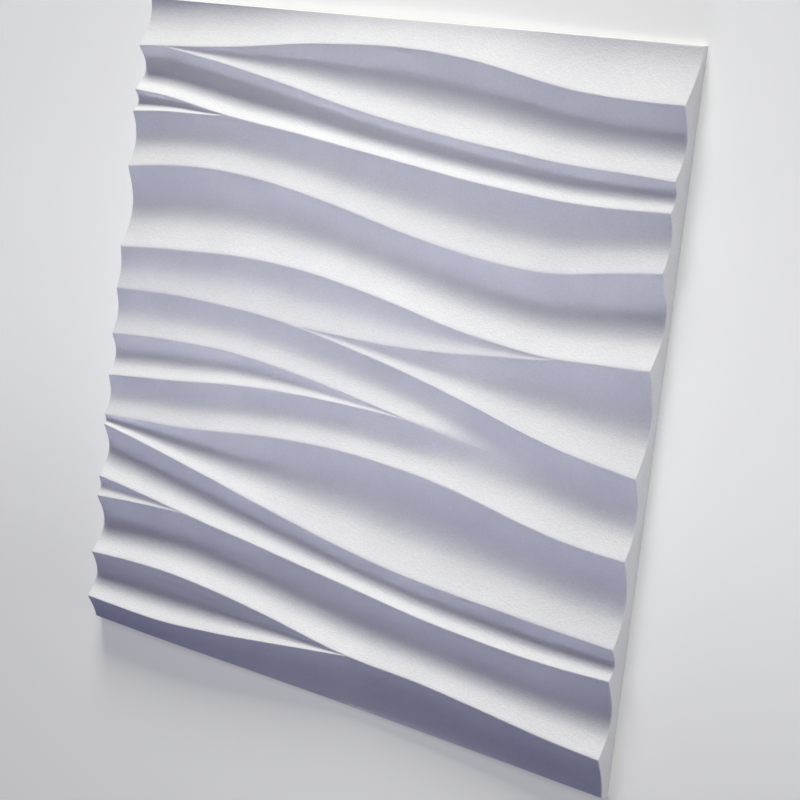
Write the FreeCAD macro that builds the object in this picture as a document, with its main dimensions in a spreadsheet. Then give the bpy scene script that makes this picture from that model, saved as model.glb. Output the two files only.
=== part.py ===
import FreeCAD, Part
import math
import os
import Sketcher
from FreeCAD import Vector

# A square wall tile, cast in one piece in plaster. Its back is flat, and its face is a
# relief of long grooves that run from the left edge to the right one. The grooves meet in
# sharp crests, all at one height. Where a groove runs out, its two crests join in one.
# The tile lies on its back: X runs along the grooves, Y up the face, Z out of the back.
# All lengths are in millimetres.

SIZES = {
    "panel_width": 600,
    "panel_height": 600,
    "thickness": 21,
    # plaster left under a groove that is cut to the full depth
    "backing": 4,
    # flat top of a crest, where two grooves come nearest to each other
    "crest_land": 0.8,
    # height of the panel that the groove widths below were drawn for
    "drawn_height": 600,
    # how far the lowest groove starts below the bottom edge
    "start_below": 38,
    # how far a cut runs above the crests
    "past_crest": 1,
    # a groove that runs out is cut on past its tip until its width would be this far below nought
    "run_out": 1,
}

# Each groove, from the bottom edge up. "width" is measured from crest to crest at thirteen
# stations, evenly spaced from the left edge to the right one, with None where there is no
# such groove. "span" says how steep it is at the left edge, the middle and the right edge:
# a groove as wide as its span is cut to the full depth. "tip_left" and "tip_right" say where
# a groove starts or runs out, counted in stations from the left edge. "over_top" and
# "over_bottom" give how far a groove reaches over the crest above or below it at each
# station: there the crest sinks, and the two grooves become one.
GROOVES = [
    {"name": "foot", "span": (67, 85, 96),
     "width": (60, 59.5, 60, 64, 69.5, 76, 82.5, 86, 85, 82, 78, 74, 72)},
    {"name": "low_leaf", "span": (77, 77, 77), "tip_right": 6.68,
     "width": (44, 47.5, 48, 42, 32.5, 20.5, 7.5, None, None, None, None, None, None)},
    {"name": "low_wave", "span": (74, 85, 94),
     "width": (56, 57, 59, 58.5, 58, 58.5, 60, 59, 55, 55, 57, 61, 65)},
    {"name": "low_dart", "span": (92, 92, 92), "tip_right": 2.36,
     "width": (20, 11.5, 3, None, None, None, None, None, None, None, None, None, None)},
    {"name": "lower_wave", "span": (85, 80, 74),
     "width": (51, 48.5, 45.5, 42.5, 38, 34.5, 31.5, 30, 30.5, 31, 31, 29, 25.5)},
    {"name": "fan", "span": (60, 110, 113),
     "width": (9, 19.5, 31, 45, 60, 72.5, 82, 87, 88, 83.5, 76.5, 72.5, 72)},
    {"name": "middle_leaf", "span": (125, 115, 105),
     "width": (39, 41, 43.5, 44.5, 43, 41.5, 41, 42.5, 41.5, 41, 41, 39, 34),
     "over_top": (0, 0, 0, 0, 0, 0, 0, 0, 3.5, 14, 26, 28, 27)},
    {"name": "middle_dart", "span": (94, 94, 94), "tip_right": 7.48,
     "width": (40, 39, 36, 30.5, 23.5, 16.5, 9.5, 2.5, None, None, None, None, None)},
    {"name": "middle_wave", "span": (149, 124, 107),
     "width": (44, 43, 42, 40.5, 41, 40.5, 39.5, 38.5, 36, 32.5, 30.5, 30.5, 32),
     "over_bottom": (0, 0, 0, 0, 0, 0, 0, 0, 3.5, 14, 26, 28, 27)},
    {"name": "right_leaf", "span": (113, 113, 113), "tip_left": 4.64,
     "width": (None, None, None, None, None, 2.5, 9.5, 18.5, 31.5, 48, 64.5, 77, 85.5)},
    {"name": "left_leaf", "span": (192, 164, 145), "tip_right": 10.26,
     "width": (40, 41.5, 43.5, 47, 49, 48.5, 42.5, 34, 22, 11, 2.5, None, None)},
    {"name": "broad_wave", "span": (116, 106, 92),
     "width": (76.5, 77.5, 77, 73, 68.5, 64.5, 62, 61, 63, 64, 67.5, 72.5, 76.5)},
    {"name": "upper_wave", "span": (120, 121, 127),
     "width": (52, 50, 48.5, 48.5, 49, 51, 54.5, 58, 59.5, 60.5, 57.5, 51, 46.5)},
    {"name": "high_dart", "span": (58, 58, 58), "tip_right": 2.46,
     "width": (20.5, 13, 4.5, None, None, None, None, None, None, None, None, None, None)},
    {"name": "high_wave", "span": (59, 68, 85),
     "width": (40.5, 43.5, 44.5, 42.5, 38.5, 34.5, 32, 31, 31, 30.5, 29.5, 28, 24)},
    {"name": "high_leaf", "span": (94, 94, 94), "tip_left": 0.64,
     "width": (None, 3.5, 12.5, 24.5, 38, 50.5, 60, 65, 65.5, 61.5, 58, 56.5, 58)},
    {"name": "head", "span": (94, 94, 96),
     "width": (66.5, 66.5, 65.5, 63.5, 60.5, 59.5, 60, 63.5, 70.5, 80.5, 89, 94.5, 97)},
]

STATIONS = 13
LAST = STATIONS - 1

# The section of a groove is one cubic curve with two end points above the crests and two
# handles under the floor. This share of the width is left between the two handles.
HANDLE_GAP = 0.16
# Added to that gap, so that the curve keeps a round floor at a tip
LEAST_GAP = 0.4
# A section is first drawn in these sizes, and the sheet then gives it its own.
DRAWN = {"opening": 40, "handles": 4, "drop": 9, "past_crest": 1}

doc = FreeCAD.newDocument("wave_panel")
sheet = doc.addObject("Spreadsheet::Sheet", "Sizes")


def write_sheet():
    """Fill the sheet: a name, then a value whose alias is that name."""
    rows = dict(SIZES)
    for groove in GROOVES:
        name = groove["name"]
        for kind in ("width", "over_top", "over_bottom"):
            for station, value in enumerate(groove.get(kind, ())):
                if value is not None:
                    rows[f"{name}_{kind}_{station}"] = value
        for place, value in zip(("left", "middle", "right"), groove["span"]):
            rows[f"{name}_span_{place}"] = value
        for tip in ("tip_left", "tip_right"):
            if tip in groove:
                rows[f"{name}_{tip}"] = groove[tip]
    for row, (alias, value) in enumerate(rows.items(), start=1):
        sheet.set(f"A{row}", alias)
        sheet.set(f"B{row}", str(value))
        sheet.setAlias(f"B{row}", alias)
    doc.recompute()


def cell(alias):
    """The expression that reads one size from the sheet."""
    return f"Sizes.{alias}"


def on_panel(station):
    """The station itself, or the nearest one on the panel if it lies off it."""
    return min(max(station, 0), LAST)


def value_at(groove, kind, station):
    """One length of a groove at a station, as an expression; nought where it has none.

    The first station off the panel at either side carries on the line through the last two
    on it, so that the cut runs out over the edge without a bend.
    """
    edge = on_panel(station)
    if groove.get(kind) is None or groove[kind][edge] is None:
        return "0 mm"
    at_edge = f"{cell(groove['name'])}_{kind}_{edge} * 1 mm"
    if edge == station:
        return at_edge
    at_inner = f"{cell(groove['name'])}_{kind}_{2 * edge - station} * 1 mm"
    return f"(2 * {at_edge} - {at_inner})"


def span_at(groove, share):
    """Span of a groove at a share of the panel's width, from nought at the left to one."""
    places = ("left", "middle", "right")
    first = 0 if share < 0.5 else 1
    part = round(2 * share - first, 3)
    low = cell(f"{groove['name']}_span_{places[first]}")
    high = cell(f"{groove['name']}_span_{places[first + 1]}")
    return f"({low} * {1 - part} + {high} * {part}) * 1 mm"


def centre_at(index, station):
    """Height of a groove's middle above the bottom edge, as drawn."""
    below = [value_at(groove, "width", station) for groove in GROOVES[:index]]
    terms = below + [f"({value_at(GROOVES[index], 'width', station)}) / 2"]
    return f"({' + '.join(terms)} - {cell('start_below')} * 1 mm)"


def station_place(station):
    """Distance of a station from the left edge."""
    return f"{cell('panel_width')} * {station} / {LAST} * 1 mm"


def add_section(body, plane, name, place, centre, width, span):
    """A sketch across one groove, on a plane square to the grooves.

    Its origin is on the groove's middle line, level with the crests. A width below nought
    gives the section past a tip, where the floor has risen above the crests.
    """
    sketch = body.newObject("Sketcher::SketchObject", name)
    sketch.AttachmentSupport = (plane, [""])
    sketch.MapMode = "FlatFace"
    stretch = f"{cell('panel_height')} / {cell('drawn_height')}"
    sketch.setExpression("AttachmentOffset.Base.x", f"{centre} * {stretch}")
    sketch.setExpression("AttachmentOffset.Base.y", f"{cell('thickness')} * 1 mm")
    sketch.setExpression("AttachmentOffset.Base.z", place)

    end = DRAWN["opening"] / 2
    handle = DRAWN["handles"] / 2
    top = DRAWN["past_crest"]
    low = top - DRAWN["drop"]
    poles = [Vector(-end, top), Vector(-handle, low), Vector(handle, low), Vector(end, top)]
    curve = sketch.addGeometry(Part.BSplineCurve(poles, None, None, False, 3, None, False), False)
    sketch.exposeInternalGeometry(curve)
    lid = sketch.addGeometry(Part.LineSegment(poles[3], poles[0]), False)
    left_end, left_handle, right_handle, right_end = range(curve + 1, curve + 5)
    # In a sketch's own codes, 3 is the middle of a pole's circle and -2 the vertical axis.
    sketch.addConstraint([
        Sketcher.Constraint("Coincident", curve, 2, lid, 1),
        Sketcher.Constraint("Coincident", curve, 1, lid, 2),
        Sketcher.Constraint("Symmetric", left_end, 3, right_end, 3, -2),
        Sketcher.Constraint("Symmetric", left_handle, 3, right_handle, 3, -2),
    ])
    distances = {
        "opening": ("DistanceX", left_end, right_end),
        "handles": ("DistanceX", left_handle, right_handle),
        "drop": ("DistanceY", left_handle, left_end),
    }
    for label, (kind, first, second) in distances.items():
        number = sketch.addConstraint(
            Sketcher.Constraint(kind, first, 3, second, 3, DRAWN[label]))
        sketch.renameConstraint(number, label)
    number = sketch.addConstraint(
        Sketcher.Constraint("DistanceY", -1, 1, left_end, 3, DRAWN["past_crest"]))
    sketch.renameConstraint(number, "past_crest")

    over = f"{cell('past_crest')} * 1 mm"
    full_depth = f"({cell('thickness')} - {cell('backing')}) * 1 mm"
    depth = f"({full_depth} * ({width}) / ({span}))"
    flank = f"({over} * ({span}) / ({full_depth} * {math.pi:.4f}))"
    opening = f"({width}) * {stretch} - {cell('crest_land')} * 1 mm + 2 * {flank}"
    handles = f"({width}) * {stretch} * {HANDLE_GAP} + {LEAST_GAP} mm"
    sketch.setExpression("Constraints.past_crest", over)
    sketch.setExpression("Constraints.opening", opening)
    sketch.setExpression("Constraints.handles", handles)
    # the curve comes three quarters of the way down to its handles
    sketch.setExpression("Constraints.drop", f"4 / 3 * ({depth} + {over})")
    return sketch


def add_tip(body, plane, index, side):
    """The section that ends a groove, just past its tip.

    The groove narrows on past the tip as it does before it, from its last station on.
    """
    groove = GROOVES[index]
    name = groove["name"]
    tip = groove[f"tip_{side}"]
    cut = [station for station, width in enumerate(groove["width"]) if width is not None]
    last = cut[-1] if side == "right" else cut[0]
    tip_cell = cell(f"{name}_tip_{side}")
    narrowing = f"({tip_cell} - {last}) / {cell(name)}_width_{last}"
    place = f"({tip_cell} + {cell('run_out')} * {narrowing}) * {station_place(1)}"
    before = int(tip)
    low = centre_at(index, before)
    high = centre_at(index, before + 1)
    centre = f"({low} + ({high} - {low}) * ({tip_cell} - {before}))"
    width = f"-{cell('run_out')} * 1 mm"
    span = span_at(groove, tip / LAST)
    return add_section(body, plane, f"{name}_tip_{side}", place, centre, width, span)


def add_groove(body, plane, index):
    """Cut one groove: a loft through its sections."""
    groove = GROOVES[index]
    name = groove["name"]
    sections = []
    for station in range(-1, STATIONS + 1):
        if groove["width"][on_panel(station)] is None:
            continue
        above = value_at(groove, "over_top", station)
        below = value_at(groove, "over_bottom", station)
        centre = f"({centre_at(index, station)} + ({above} - {below}) / 2)"
        width = f"({value_at(groove, 'width', station)} + {above} + {below})"
        span = span_at(groove, station / LAST)
        label = f"{name}_section_{station + 1}"
        place = station_place(station)
        sections.append(add_section(body, plane, label, place, centre, width, span))
    if "tip_left" in groove:
        sections.insert(0, add_tip(body, plane, index, "left"))
    if "tip_right" in groove:
        sections.append(add_tip(body, plane, index, "right"))
    loft = body.newObject("PartDesign::SubtractiveLoft", name)
    loft.Profile = sections[0]
    loft.Sections = sections[1:]
    loft.Ruled = False
    for sketch in sections:
        sketch.Visibility = False
    return loft


def add_blank(body, plane):
    """The slab that the grooves are cut into."""
    sketch = body.newObject("Sketcher::SketchObject", "outline")
    sketch.AttachmentSupport = (plane, [""])
    sketch.MapMode = "FlatFace"
    width, height = SIZES["panel_width"], SIZES["panel_height"]
    corners = [Vector(0, 0), Vector(width, 0), Vector(width, height), Vector(0, height)]
    for start, end in zip(corners, corners[1:] + corners[:1]):
        sketch.addGeometry(Part.LineSegment(start, end), False)
    for line in range(4):
        sketch.addConstraint(Sketcher.Constraint("Coincident", line, 2, (line + 1) % 4, 1))
        kind = "Horizontal" if line % 2 == 0 else "Vertical"
        sketch.addConstraint(Sketcher.Constraint(kind, line))
    sketch.addConstraint(Sketcher.Constraint("Coincident", 0, 1, -1, 1))
    across = sketch.addConstraint(Sketcher.Constraint("DistanceX", 0, 1, 0, 2, width))
    up = sketch.addConstraint(Sketcher.Constraint("DistanceY", 1, 1, 1, 2, height))
    sketch.setExpression(f"Constraints[{across}]", f"{cell('panel_width')} * 1 mm")
    sketch.setExpression(f"Constraints[{up}]", f"{cell('panel_height')} * 1 mm")
    pad = body.newObject("PartDesign::Pad", "slab")
    pad.Profile = sketch
    pad.setExpression("Length", f"{cell('thickness')} * 1 mm")
    return pad


def origin_plane(body, role):
    """One of the three origin planes of a body."""
    return next(item for item in body.Origin.OriginFeatures if item.Role == role)


def check(item):
    """Stop if an object of the document has failed."""
    if "Invalid" in item.State or "Error" in item.State:
        raise RuntimeError(f"{item.Label} failed: {item.State}")


write_sheet()

panel = doc.addObject("PartDesign::Body", "wave_panel")
panel.Label = "wave_panel"
add_blank(panel, origin_plane(panel, "XY_Plane"))
across = origin_plane(panel, "YZ_Plane")
for index in range(len(GROOVES)):
    panel.Tip = add_groove(panel, across, index)

# The sketches are measured from the bottom left corner; the tile is stored about its middle.
panel.setExpression("Placement.Base.x", f"-{cell('panel_width')} / 2 * 1 mm")
panel.setExpression("Placement.Base.y", f"-{cell('panel_height')} / 2 * 1 mm")
doc.recompute()

for item in doc.Objects:
    check(item)

parts = [panel]
for part in parts:
    if part.Shape.isNull() or not part.Shape.isValid() or len(part.Shape.Solids) != 1:
        raise RuntimeError(f"{part.Label} is not one valid solid")

os.makedirs("parts", exist_ok=True)
for part in parts:
    part.Shape.exportStep(f"parts/{part.Label}.step")
    box = part.Shape.BoundBox
    print(f"{part.Label}: {box.XLength:.2f} x {box.YLength:.2f} x {box.ZLength:.2f} mm,",
          f"{part.Shape.Volume / 1e6:.3f} litres, {len(part.Shape.Faces)} faces")
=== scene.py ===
import math

import bmesh
import bpy
import numpy as np
from mathutils import Matrix, Vector


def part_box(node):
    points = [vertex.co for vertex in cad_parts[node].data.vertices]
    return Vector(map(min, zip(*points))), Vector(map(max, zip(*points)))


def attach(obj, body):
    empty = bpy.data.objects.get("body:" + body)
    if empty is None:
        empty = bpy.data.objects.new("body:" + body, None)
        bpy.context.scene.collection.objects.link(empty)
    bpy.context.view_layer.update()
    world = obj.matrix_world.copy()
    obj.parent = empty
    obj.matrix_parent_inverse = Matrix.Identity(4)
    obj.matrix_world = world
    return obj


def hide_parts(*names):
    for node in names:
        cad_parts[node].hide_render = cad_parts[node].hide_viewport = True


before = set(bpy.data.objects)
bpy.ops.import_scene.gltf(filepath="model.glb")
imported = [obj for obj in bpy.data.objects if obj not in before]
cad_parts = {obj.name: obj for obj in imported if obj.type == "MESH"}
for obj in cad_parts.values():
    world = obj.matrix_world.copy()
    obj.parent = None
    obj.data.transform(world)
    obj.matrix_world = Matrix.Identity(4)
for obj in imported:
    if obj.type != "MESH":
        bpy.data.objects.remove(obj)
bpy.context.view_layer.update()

# A cast plaster wall tile, lying on its back. The shape's lengths are in millimetres from the
# tile's bottom left corner: X to the right, along the grooves, and Y up the face. The places
# of the floor, the lamps and the camera are in metres from the middle of its back.
MM = 0.001
NODE = "wave_panel"
LOW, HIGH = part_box(NODE)
WIDTH = (HIGH[0] - LOW[0]) / MM
HEIGHT = (HIGH[1] - LOW[1]) / MM
CREST = (HIGH[2] - LOW[2]) / MM
# Plaster left under a groove that is cut to the full depth
BACKING = 4.0
RELIEF = CREST - BACKING

# Each groove, from the bottom edge up: its width from crest to crest at thirteen stations,
# evenly spaced from the left edge to the right one. NO stands where there is no such groove.
NO = None
WIDTHS = {
    "foot": (60, 59.5, 60, 64, 69.5, 76, 82.5, 86, 85, 82, 78, 74, 72),
    "low_leaf": (44, 47.5, 48, 42, 32.5, 20.5, 7.5, NO, NO, NO, NO, NO, NO),
    "low_wave": (56, 57, 59, 58.5, 58, 58.5, 60, 59, 55, 55, 57, 61, 65),
    "low_dart": (20, 11.5, 3, NO, NO, NO, NO, NO, NO, NO, NO, NO, NO),
    "lower_wave": (51, 48.5, 45.5, 42.5, 38, 34.5, 31.5, 30, 30.5, 31, 31, 29, 25.5),
    "fan": (9, 19.5, 31, 45, 60, 72.5, 82, 87, 88, 83.5, 76.5, 72.5, 72),
    "middle_leaf": (39, 41, 43.5, 44.5, 43, 41.5, 41, 42.5, 41.5, 41, 41, 39, 34),
    "middle_dart": (40, 39, 36, 30.5, 23.5, 16.5, 9.5, 2.5, NO, NO, NO, NO, NO),
    "middle_wave": (44, 43, 42, 40.5, 41, 40.5, 39.5, 38.5, 36, 32.5, 30.5, 30.5, 32),
    "right_leaf": (NO, NO, NO, NO, NO, 2.5, 9.5, 18.5, 31.5, 48, 64.5, 77, 85.5),
    "left_leaf": (40, 41.5, 43.5, 47, 49, 48.5, 42.5, 34, 22, 11, 2.5, NO, NO),
    "broad_wave": (76.5, 77.5, 77, 73, 68.5, 64.5, 62, 61, 63, 64, 67.5, 72.5, 76.5),
    "upper_wave": (52, 50, 48.5, 48.5, 49, 51, 54.5, 58, 59.5, 60.5, 57.5, 51, 46.5),
    "high_dart": (20.5, 13, 4.5, NO, NO, NO, NO, NO, NO, NO, NO, NO, NO),
    "high_wave": (40.5, 43.5, 44.5, 42.5, 38.5, 34.5, 32, 31, 31, 30.5, 29.5, 28, 24),
    "high_leaf": (NO, 3.5, 12.5, 24.5, 38, 50.5, 60, 65, 65.5, 61.5, 58, 56.5, 58),
    "head": (66.5, 66.5, 65.5, 63.5, 60.5, 59.5, 60, 63.5, 70.5, 80.5, 89, 94.5, 97),
}
NAMES = list(WIDTHS)
STATIONS = 13
# How far the lowest groove starts below the bottom edge
START_BELOW = 38

# The crest line under a groove that starts or runs out on the tile: the places where it
# leaves or meets another line, and the groove above that other line.
BRANCHES = {
    "low_leaf": {"end": 334, "into": "low_wave"},
    "low_dart": {"end": 118, "into": "lower_wave"},
    "middle_dart": {"end": 374, "into": "middle_wave"},
    "left_leaf": {"start": 232, "out_of": "right_leaf", "end": 513, "into": "broad_wave"},
    "high_dart": {"end": 123, "into": "high_wave"},
    "high_leaf": {"start": 32, "out_of": "head"},
}

# Span of each groove at the left edge, the middle and the right edge: a groove as wide as
# its span is cut to the full depth.
SPANS = {
    "foot": (67, 85, 96),
    "low_leaf": (77, 77, 77),
    "low_wave": (74, 85, 94),
    "low_dart": (92, 92, 92),
    "lower_wave": (85, 80, 74),
    "fan": (60, 110, 113),
    "middle_leaf": (125, 115, 105),
    "middle_dart": (94, 94, 94),
    "middle_wave": (149, 124, 107),
    "right_leaf": (113, 113, 113),
    "left_leaf": (192, 164, 145),
    "broad_wave": (116, 106, 92),
    "upper_wave": (120, 121, 127),
    "high_dart": (58, 58, 58),
    "high_wave": (59, 68, 85),
    "high_leaf": (94, 94, 94),
    "head": (94, 94, 96),
}

# Towards the right, the grooves "middle_leaf" and "middle_wave" reach over the crest between
# them by these lengths, and it sinks. The round is how far the sinking ridge is smoothed off.
FADING = ("middle_leaf", "middle_dart", "middle_wave")
OVER_PLACES = (0, 374, 400, 450, 500, 550, 600)
OVER = (0, 0, 3.5, 14, 26, 28, 27)
OVER_ROUND = (0.22, 0.3, 1.2, 2.0, 1.2, 0.6, 0.5)
# Between these two places the plain section gives way to the merged one.
FADE_FROM, FADE_TO = 350, 380

# How finely the face is drawn, along the grooves and across each of them
COLUMNS = 240
ROWS = 15
# How much lower the tip of a rounded crest is than that of a sharp one
CREST_ROUND = 0.22
# The rounded edge between the face and the sides, and the rings that the sides go down in:
# how far in and how far below the face each ring is, as shares of the arris
ARRIS = 0.5
SIDE_RINGS = ((0.3, 0.3), (0, 1), (0, 2))
# Points nearer to each other than this are one point.
SAME_POINT = 2e-6
SHORTEST_EDGE = 1e-7
# Faces that meet at more than this angle keep a sharp edge.
SHARP_ANGLE = math.radians(62)
# A groove narrower than this has run out.
LEAST_WIDTH = 0.01


def spline(xs, ys, at):
    """Values of the natural cubic spline through the points, held at its end values beyond."""
    xs = np.array(xs, float)
    ys = np.array(ys, float)
    count = len(xs)
    step = np.diff(xs)
    slope = np.diff(ys) / step
    matrix = np.eye(count)
    right = np.zeros(count)
    for i in range(1, count - 1):
        matrix[i, i - 1:i + 2] = step[i - 1], 2 * (step[i - 1] + step[i]), step[i]
        right[i] = 6 * (slope[i] - slope[i - 1])
    bend = np.linalg.solve(matrix, right)
    i = np.clip(np.searchsorted(xs, at) - 1, 0, count - 2)
    t = np.clip(at, xs[0], xs[-1]) - xs[i]
    first = slope[i] - step[i] * (2 * bend[i] + bend[i + 1]) / 6
    third = (bend[i + 1] - bend[i]) / (6 * step[i])
    return ys[i] + t * first + t * t * bend[i] / 2 + t ** 3 * third


def line_above(grooves, at):
    """Height of the line that the grooves reach when they are stacked from the bottom up."""
    stations = np.linspace(0, WIDTH, STATIONS)
    heights = [sum(WIDTHS[groove][i] or 0 for groove in grooves) for i in range(STATIONS)]
    return spline(stations, np.array(heights) - START_BELOW, at)


def crest_line(name, at):
    """Height of the crest line under a groove; past a join it is the line that it meets."""
    below = NAMES[:NAMES.index(name)]
    branch = BRANCHES.get(name)
    if branch is None:
        return line_above(below, at)
    start, end = branch.get("start", 0), branch.get("end", WIDTH)
    xs = [x for x in np.linspace(0, WIDTH, STATIONS) if start <= x <= end]
    ys = list(line_above(below, np.array(xs)))
    if "start" in branch:
        xs.insert(0, start)
        ys.insert(0, float(crest_line(branch["out_of"], np.array([start]))[0]))
    if "end" in branch:
        xs.append(end)
        ys.append(float(crest_line(branch["into"], np.array([end]))[0]))
    value = spline(xs, ys, at)
    if "start" in branch:
        value = np.where(at < start, crest_line(branch["out_of"], at), value)
    if "end" in branch:
        value = np.where(at > end, crest_line(branch["into"], at), value)
    return value


def smooth_step(low, high, value):
    """Nought below one value and one above the other, with a smooth rise between."""
    t = np.clip((value - low) / (high - low), 0, 1)
    return t * t * (3 - 2 * t)


def span_at(name, at):
    """Span of a groove at a place along it."""
    return np.interp(at, (0, WIDTH / 2, WIDTH), SPANS[name])


def groove_floor(low, high, span, y):
    """Depth of a groove below the crests: half a sine wave, run on straight past its crests."""
    wide = np.maximum(high - low, 1e-6)
    share = (y - low) / wide
    slope = np.pi * RELIEF / span
    inside = RELIEF * wide / span * np.sin(np.pi * np.clip(share, 0, 1))
    outside = slope * wide * (np.minimum(share, 0) + np.minimum(1 - share, 0))
    return np.where(high - low < LEAST_WIDTH, 0, inside + outside)


def rounded(depth, radius):
    """A depth with its sharp crest rounded off."""
    return np.sqrt(depth * depth + radius * radius) - radius


def deeper(one, other, radius):
    """The deeper of two floors, with the ridge between them rounded off."""
    gap = one - other
    return (one + other + np.sqrt(gap * gap + 4 * radius * radius)) / 2


def merged_floor(x, y):
    """Depth of the two middle grooves where the crest between them sinks."""
    over = np.interp(x, OVER_PLACES, OVER)
    soft = np.interp(x, OVER_PLACES, OVER_ROUND)
    foot = crest_line("middle_leaf", x)
    ridge = crest_line("middle_wave", x)
    head = crest_line("right_leaf", x)
    lower = groove_floor(foot, ridge + over, span_at("middle_leaf", x), y)
    upper = groove_floor(ridge - over, head, span_at("middle_wave", x), y)
    return np.maximum(deeper(lower, upper, soft), 0)


def face_height(name, low, high, x, y):
    """Height of the face in one groove, between its two crest lines."""
    depth = groove_floor(low, high, span_at(name, x), y)
    if name in FADING:
        fade = smooth_step(FADE_FROM, FADE_TO, x)
        depth = depth * (1 - fade) + merged_floor(x, y) * fade
    return CREST - rounded(depth, CREST_ROUND)


def face_points():
    """The face as a grid of points: rows along the grooves, closest together at the crests."""
    x = np.linspace(0, WIDTH, COLUMNS + 1)
    lines = [crest_line(name, x) for name in NAMES] + [line_above(NAMES, x)]
    shares = (1 - np.cos(np.pi * np.arange(ROWS + 1) / ROWS)) / 2
    rows = []
    for name, low, high in zip(NAMES, lines, lines[1:]):
        first = np.maximum(low, 0)
        last = np.minimum(high, HEIGHT)
        for share in shares[:-1]:
            y = first + (last - first) * share
            rows.append((x, y, face_height(name, low, high, x, y)))
    y = np.full_like(x, HEIGHT)
    rows.append((x, y, face_height(NAMES[-1], lines[-2], lines[-1], x, y)))
    return np.array([np.stack(row, axis=1) for row in rows])


def rim_places(rows, columns):
    """Places of a grid's outermost points, once around."""
    rim = [(0, c) for c in range(columns)]
    rim += [(r, columns - 1) for r in range(1, rows)]
    rim += [(rows - 1, c) for c in range(columns - 2, -1, -1)]
    rim += [(r, 0) for r in range(rows - 2, 0, -1)]
    return rim


def drawn_in(points, inset):
    """The points, moved in where they are nearer to the tile's outline than the inset."""
    moved = points.copy()
    moved[..., 0] = np.clip(points[..., 0], inset, WIDTH - inset)
    moved[..., 1] = np.clip(points[..., 1], inset, HEIGHT - inset)
    return moved


def build_panel():
    """One closed mesh: the face, its rounded arris, the four sides and the back."""
    grid = face_points()
    rim = rim_places(*grid.shape[:2])
    outline = np.array([grid[place] for place in rim])
    bm = bmesh.new()

    def vertices(points):
        return [bm.verts.new([v * MM + low for v, low in zip(point, LOW)]) for point in points]

    face = [vertices(row) for row in drawn_in(grid, ARRIS)]
    for under, over in zip(face, face[1:]):
        for c in range(COLUMNS):
            bm.faces.new((under[c], under[c + 1], over[c + 1], over[c]))

    loops = [[face[r][c] for r, c in rim]]
    for inset, drop in SIDE_RINGS:
        loops.append(vertices(drawn_in(outline, inset * ARRIS) - (0, 0, drop * ARRIS)))
    loops.append(vertices(outline * (1, 1, 0)))
    for upper, lower in zip(loops, loops[1:]):
        for i in range(len(rim)):
            j = (i + 1) % len(rim)
            bm.faces.new((upper[i], lower[i], lower[j], upper[j]))
    bm.faces.new(loops[-1][::-1])

    # where a groove has run out, its rows lie on each other and become one
    bmesh.ops.remove_doubles(bm, verts=bm.verts, dist=SAME_POINT)
    bmesh.ops.dissolve_degenerate(bm, dist=SHORTEST_EDGE, edges=bm.edges)
    bmesh.ops.triangulate(bm, faces=[f for f in bm.faces if len(f.verts) > 4])
    bmesh.ops.recalc_face_normals(bm, faces=bm.faces)
    mesh = bpy.data.meshes.new("cast_wave_panel")
    bm.to_mesh(mesh)
    bm.free()
    mesh.shade_smooth()
    mesh.set_sharp_from_angle(angle=SHARP_ANGLE)
    panel = bpy.data.objects.new("cast_wave_panel", mesh)
    bpy.context.collection.objects.link(panel)
    return panel


# Plaster: the two tones of its faint clouds, how much the grain darkens it, how dull it is,
# and the height of its grain in metres
CLOUD_TONES = ((0.3, (0.775, 0.775, 0.785, 1)), (0.7, (0.825, 0.825, 0.825, 1)))
GRAIN_SHADE = {"From_Min": 0.35, "From_Max": 0.65, "To_Min": 0.93, "To_Max": 1.0}
DULLNESS = {"To_Min": 0.62, "To_Max": 0.82}
GRAIN_HEIGHT = 0.0004


def node(tree, kind, place, **inputs):
    """A node at a place, with its inputs set by name."""
    item = tree.nodes.new(kind)
    item.location = place
    for name, value in inputs.items():
        item.inputs[name.replace("_", " ")].default_value = value
    return item


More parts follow.
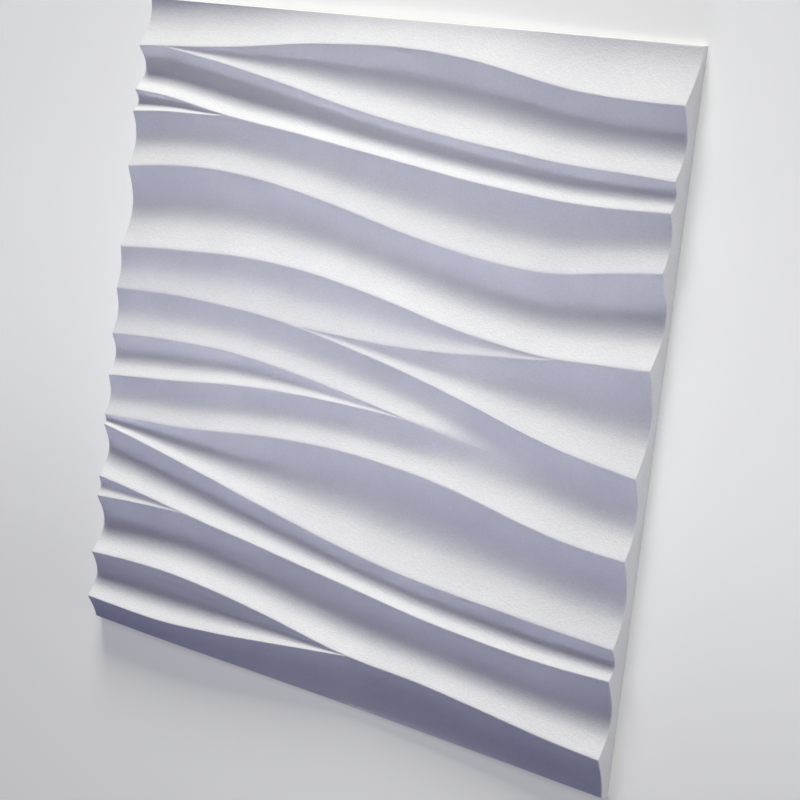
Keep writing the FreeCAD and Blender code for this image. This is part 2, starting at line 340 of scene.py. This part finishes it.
def plaster():
    """Matt white casting plaster with a fine sandy grain and faint cloudiness."""
    material = bpy.data.materials.new("white_plaster")
    material.use_nodes = True
    tree = material.node_tree
    link = tree.links.new
    shader = tree.nodes["Principled BSDF"]
    shader.inputs["Specular IOR Level"].default_value = 0.3

    place = node(tree, "ShaderNodeTexCoord", (-1100, 0))
    noise = "ShaderNodeTexNoise"
    clouds = node(tree, noise, (-850, 250), Scale=14.0, Detail=4.0, Roughness=0.6)
    grain = node(tree, noise, (-850, 0), Scale=620.0, Detail=3.0, Roughness=0.65)
    pores = node(tree, noise, (-850, -250), Scale=260.0, Detail=2.0, Roughness=0.5)
    for texture in (clouds, grain, pores):
        link(place.outputs["Object"], texture.inputs["Vector"])

    tone = node(tree, "ShaderNodeValToRGB", (-550, 250))
    for element, (position, colour) in zip(tone.color_ramp.elements, CLOUD_TONES):
        element.position = position
        element.color = colour
    dots = node(tree, "ShaderNodeMapRange", (-550, 0), **GRAIN_SHADE)
    speckle = node(tree, "ShaderNodeMix", (-250, 250))
    speckle.data_type = "RGBA"
    speckle.blend_type = "MULTIPLY"
    speckle.inputs["Factor"].default_value = 1.0
    link(clouds.outputs["Fac"], tone.inputs["Fac"])
    link(grain.outputs["Fac"], dots.inputs["Value"])
    link(tone.outputs["Color"], speckle.inputs["A"])
    link(dots.outputs["Result"], speckle.inputs["B"])
    link(speckle.outputs["Result"], shader.inputs["Base Color"])

    dull = node(tree, "ShaderNodeMapRange", (-250, 0), **DULLNESS)
    link(pores.outputs["Fac"], dull.inputs["Value"])
    link(dull.outputs["Result"], shader.inputs["Roughness"])

    coarse = node(tree, "ShaderNodeBump", (-500, -300), Strength=0.5, Distance=GRAIN_HEIGHT)
    fine = node(tree, "ShaderNodeBump", (-250, -300), Strength=0.8, Distance=GRAIN_HEIGHT)
    link(pores.outputs["Fac"], coarse.inputs["Height"])
    link(grain.outputs["Fac"], fine.inputs["Height"])
    link(coarse.outputs["Normal"], fine.inputs["Normal"])
    link(fine.outputs["Normal"], shader.inputs["Normal"])
    return material


# The floor's reach to each side, and how far it lies below the back, so that the two never
# show through each other
FLOOR_REACH = 12.0
FLOOR_GAP = 0.0002
FLOOR_COLOUR = (0.80, 0.80, 0.79, 1)
# Paleness that the floor and the surroundings have for the eye alone
FLOOR_GLOW = (1.0, 1.0, 0.9, 1)
FLOOR_GLOW_STRENGTH = 0.26
FAR_GLOW = (1.0, 1.0, 1.0, 1)
FAR_GLOW_STRENGTH = 0.42
# The dome's light on the tile
DOME = (0.1, 0.1, 1.0, 1)
DOME_STRENGTH = 0.08


def seen_ray(tree, place):
    """One for a ray from the camera, a mirror or glass, and nought for light on the tile."""
    path = node(tree, "ShaderNodeLightPath", place)
    seen = path.outputs["Is Camera Ray"]
    for step, kind in enumerate(("Is Glossy Ray", "Is Transmission Ray"), start=1):
        either = node(tree, "ShaderNodeMath", (place[0] + 200 * step, place[1]))
        either.operation = "MAXIMUM"
        tree.links.new(seen, either.inputs[0])
        tree.links.new(path.outputs[kind], either.inputs[1])
        seen = either.outputs["Value"]
    return seen


def floor():
    """A wide plain pale floor that the tile lies on."""
    mesh = bpy.data.meshes.new("floor")
    signs = ((-1, -1), (1, -1), (1, 1), (-1, 1))
    corners = [(x * FLOOR_REACH, y * FLOOR_REACH, 0) for x, y in signs]
    mesh.from_pydata(corners, [], [(0, 1, 2, 3)])
    item = bpy.data.objects.new("floor", mesh)
    item.location.z = -FLOOR_GAP
    bpy.context.collection.objects.link(item)
    material = bpy.data.materials.new("floor")
    material.use_nodes = True
    tree = material.node_tree
    shader = tree.nodes["Principled BSDF"]
    shader.inputs["Base Color"].default_value = FLOOR_COLOUR
    shader.inputs["Roughness"].default_value = 0.9
    shader.inputs["Emission Color"].default_value = FLOOR_GLOW
    glow = node(tree, "ShaderNodeMath", (-250, -250))
    glow.operation = "MULTIPLY"
    glow.inputs[1].default_value = FLOOR_GLOW_STRENGTH
    tree.links.new(seen_ray(tree, (-900, -250)), glow.inputs[0])
    tree.links.new(glow.outputs["Value"], shader.inputs["Emission Strength"])
    mesh.materials.append(material)


def surroundings():
    """A dim cool dome of light, with a pale even background for the eye."""
    world = bpy.data.worlds.new("studio")
    world.use_nodes = True
    tree = world.node_tree
    dome = tree.nodes["Background"]
    dome.inputs["Color"].default_value = DOME
    dome.inputs["Strength"].default_value = DOME_STRENGTH
    far = node(tree, "ShaderNodeBackground", (0, -200), Color=FAR_GLOW,
               Strength=FAR_GLOW_STRENGTH)
    either = node(tree, "ShaderNodeMixShader", (250, 200))
    tree.links.new(seen_ray(tree, (-700, 200)), either.inputs["Fac"])
    tree.links.new(dome.outputs["Background"], either.inputs[1])
    tree.links.new(far.outputs["Background"], either.inputs[2])
    tree.links.new(either.outputs["Shader"], tree.nodes["World Output"].inputs["Surface"])
    bpy.context.scene.world = world


# The lamps are soft boxes, each turned to what it lights: a large low one past the tile's top
# edge, a small one over it, a long one low before its bottom edge, and two far low ones, cool
# before it and plain beside it. The spread, where given, keeps a lamp's light together.
LAMPS = {
    "key": {"place": (-0.6, 5.75, 1.57), "aim": (0, 0, 0), "size": (2.6, 1.4),
            "power": 414.0, "colour": (1.0, 1.0, 0.92)},
    "over": {"place": (0.0, 0.1, 0.5), "aim": (0.0, 0.1, 0), "size": (0.4, 0.3),
             "power": 0.98, "colour": (0.96, 0.96, 1.0)},
    "low": {"place": (0.0, -0.669, 0.221), "aim": (0, 0.1, 0), "size": (1.2, 0.1),
            "power": 0.24, "colour": (0.84, 0.86, 1.0), "spread": math.radians(20)},
    "cool": {"place": (-1.2, -2.8, 0.9), "aim": (0, 0, 0), "size": (1.4, 0.5),
             "power": 5.0, "colour": (0.4, 0.45, 1.0)},
    "side": {"place": (3.0, -0.2, 0.35), "aim": (0, 0, 0), "size": (1.4, 0.3),
             "power": 27.0, "colour": (1.0, 1.0, 0.92)},
}


def light():
    """The lamps of the table."""
    for name, given in LAMPS.items():
        lamp = bpy.data.lights.new(name, "AREA")
        lamp.shape = "RECTANGLE"
        lamp.size, lamp.size_y = given["size"]
        lamp.energy = given["power"]
        lamp.color = given["colour"]
        if "spread" in given:
            lamp.spread = given["spread"]
        item = bpy.data.objects.new(name, lamp)
        item.location = given["place"]
        ahead = Vector(given["aim"]) - Vector(given["place"])
        item.rotation_euler = ahead.to_track_quat("-Z", "Y").to_euler()
        bpy.context.collection.objects.link(item)


# The camera's lens is in millimetres. Before the roll, the way up the face is up in the view.
CAMERA_PLACE = (1.1267, 0.2387, 1.3730)
CAMERA_AIM = (0.0418, -0.0222, 0.0)
CAMERA_ROLL = math.radians(6.56)
CAMERA_LENS = 92.2


def camera():
    """The photograph's view of the tile's face, now seen from above."""
    data = bpy.data.cameras.new("camera")
    data.lens = CAMERA_LENS
    item = bpy.data.objects.new("camera", data)
    place = Vector(CAMERA_PLACE)
    forward = (Vector(CAMERA_AIM) - place).normalized()
    right = forward.cross(Vector((0, 1, 0))).normalized()
    up = right.cross(forward)
    turned_right = right * math.cos(CAMERA_ROLL) + up * math.sin(CAMERA_ROLL)
    turned_up = up * math.cos(CAMERA_ROLL) - right * math.sin(CAMERA_ROLL)
    turn = Matrix((turned_right, turned_up, -forward)).transposed()
    item.matrix_world = Matrix.Translation(place) @ turn.to_4x4()
    bpy.context.collection.objects.link(item)
    bpy.context.scene.camera = item


panel = build_panel()
panel.data.materials.append(plaster())
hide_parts(NODE)
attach(panel, "root")

floor()
surroundings()
light()
camera()
bpy.context.scene.view_settings.view_transform = "Standard"
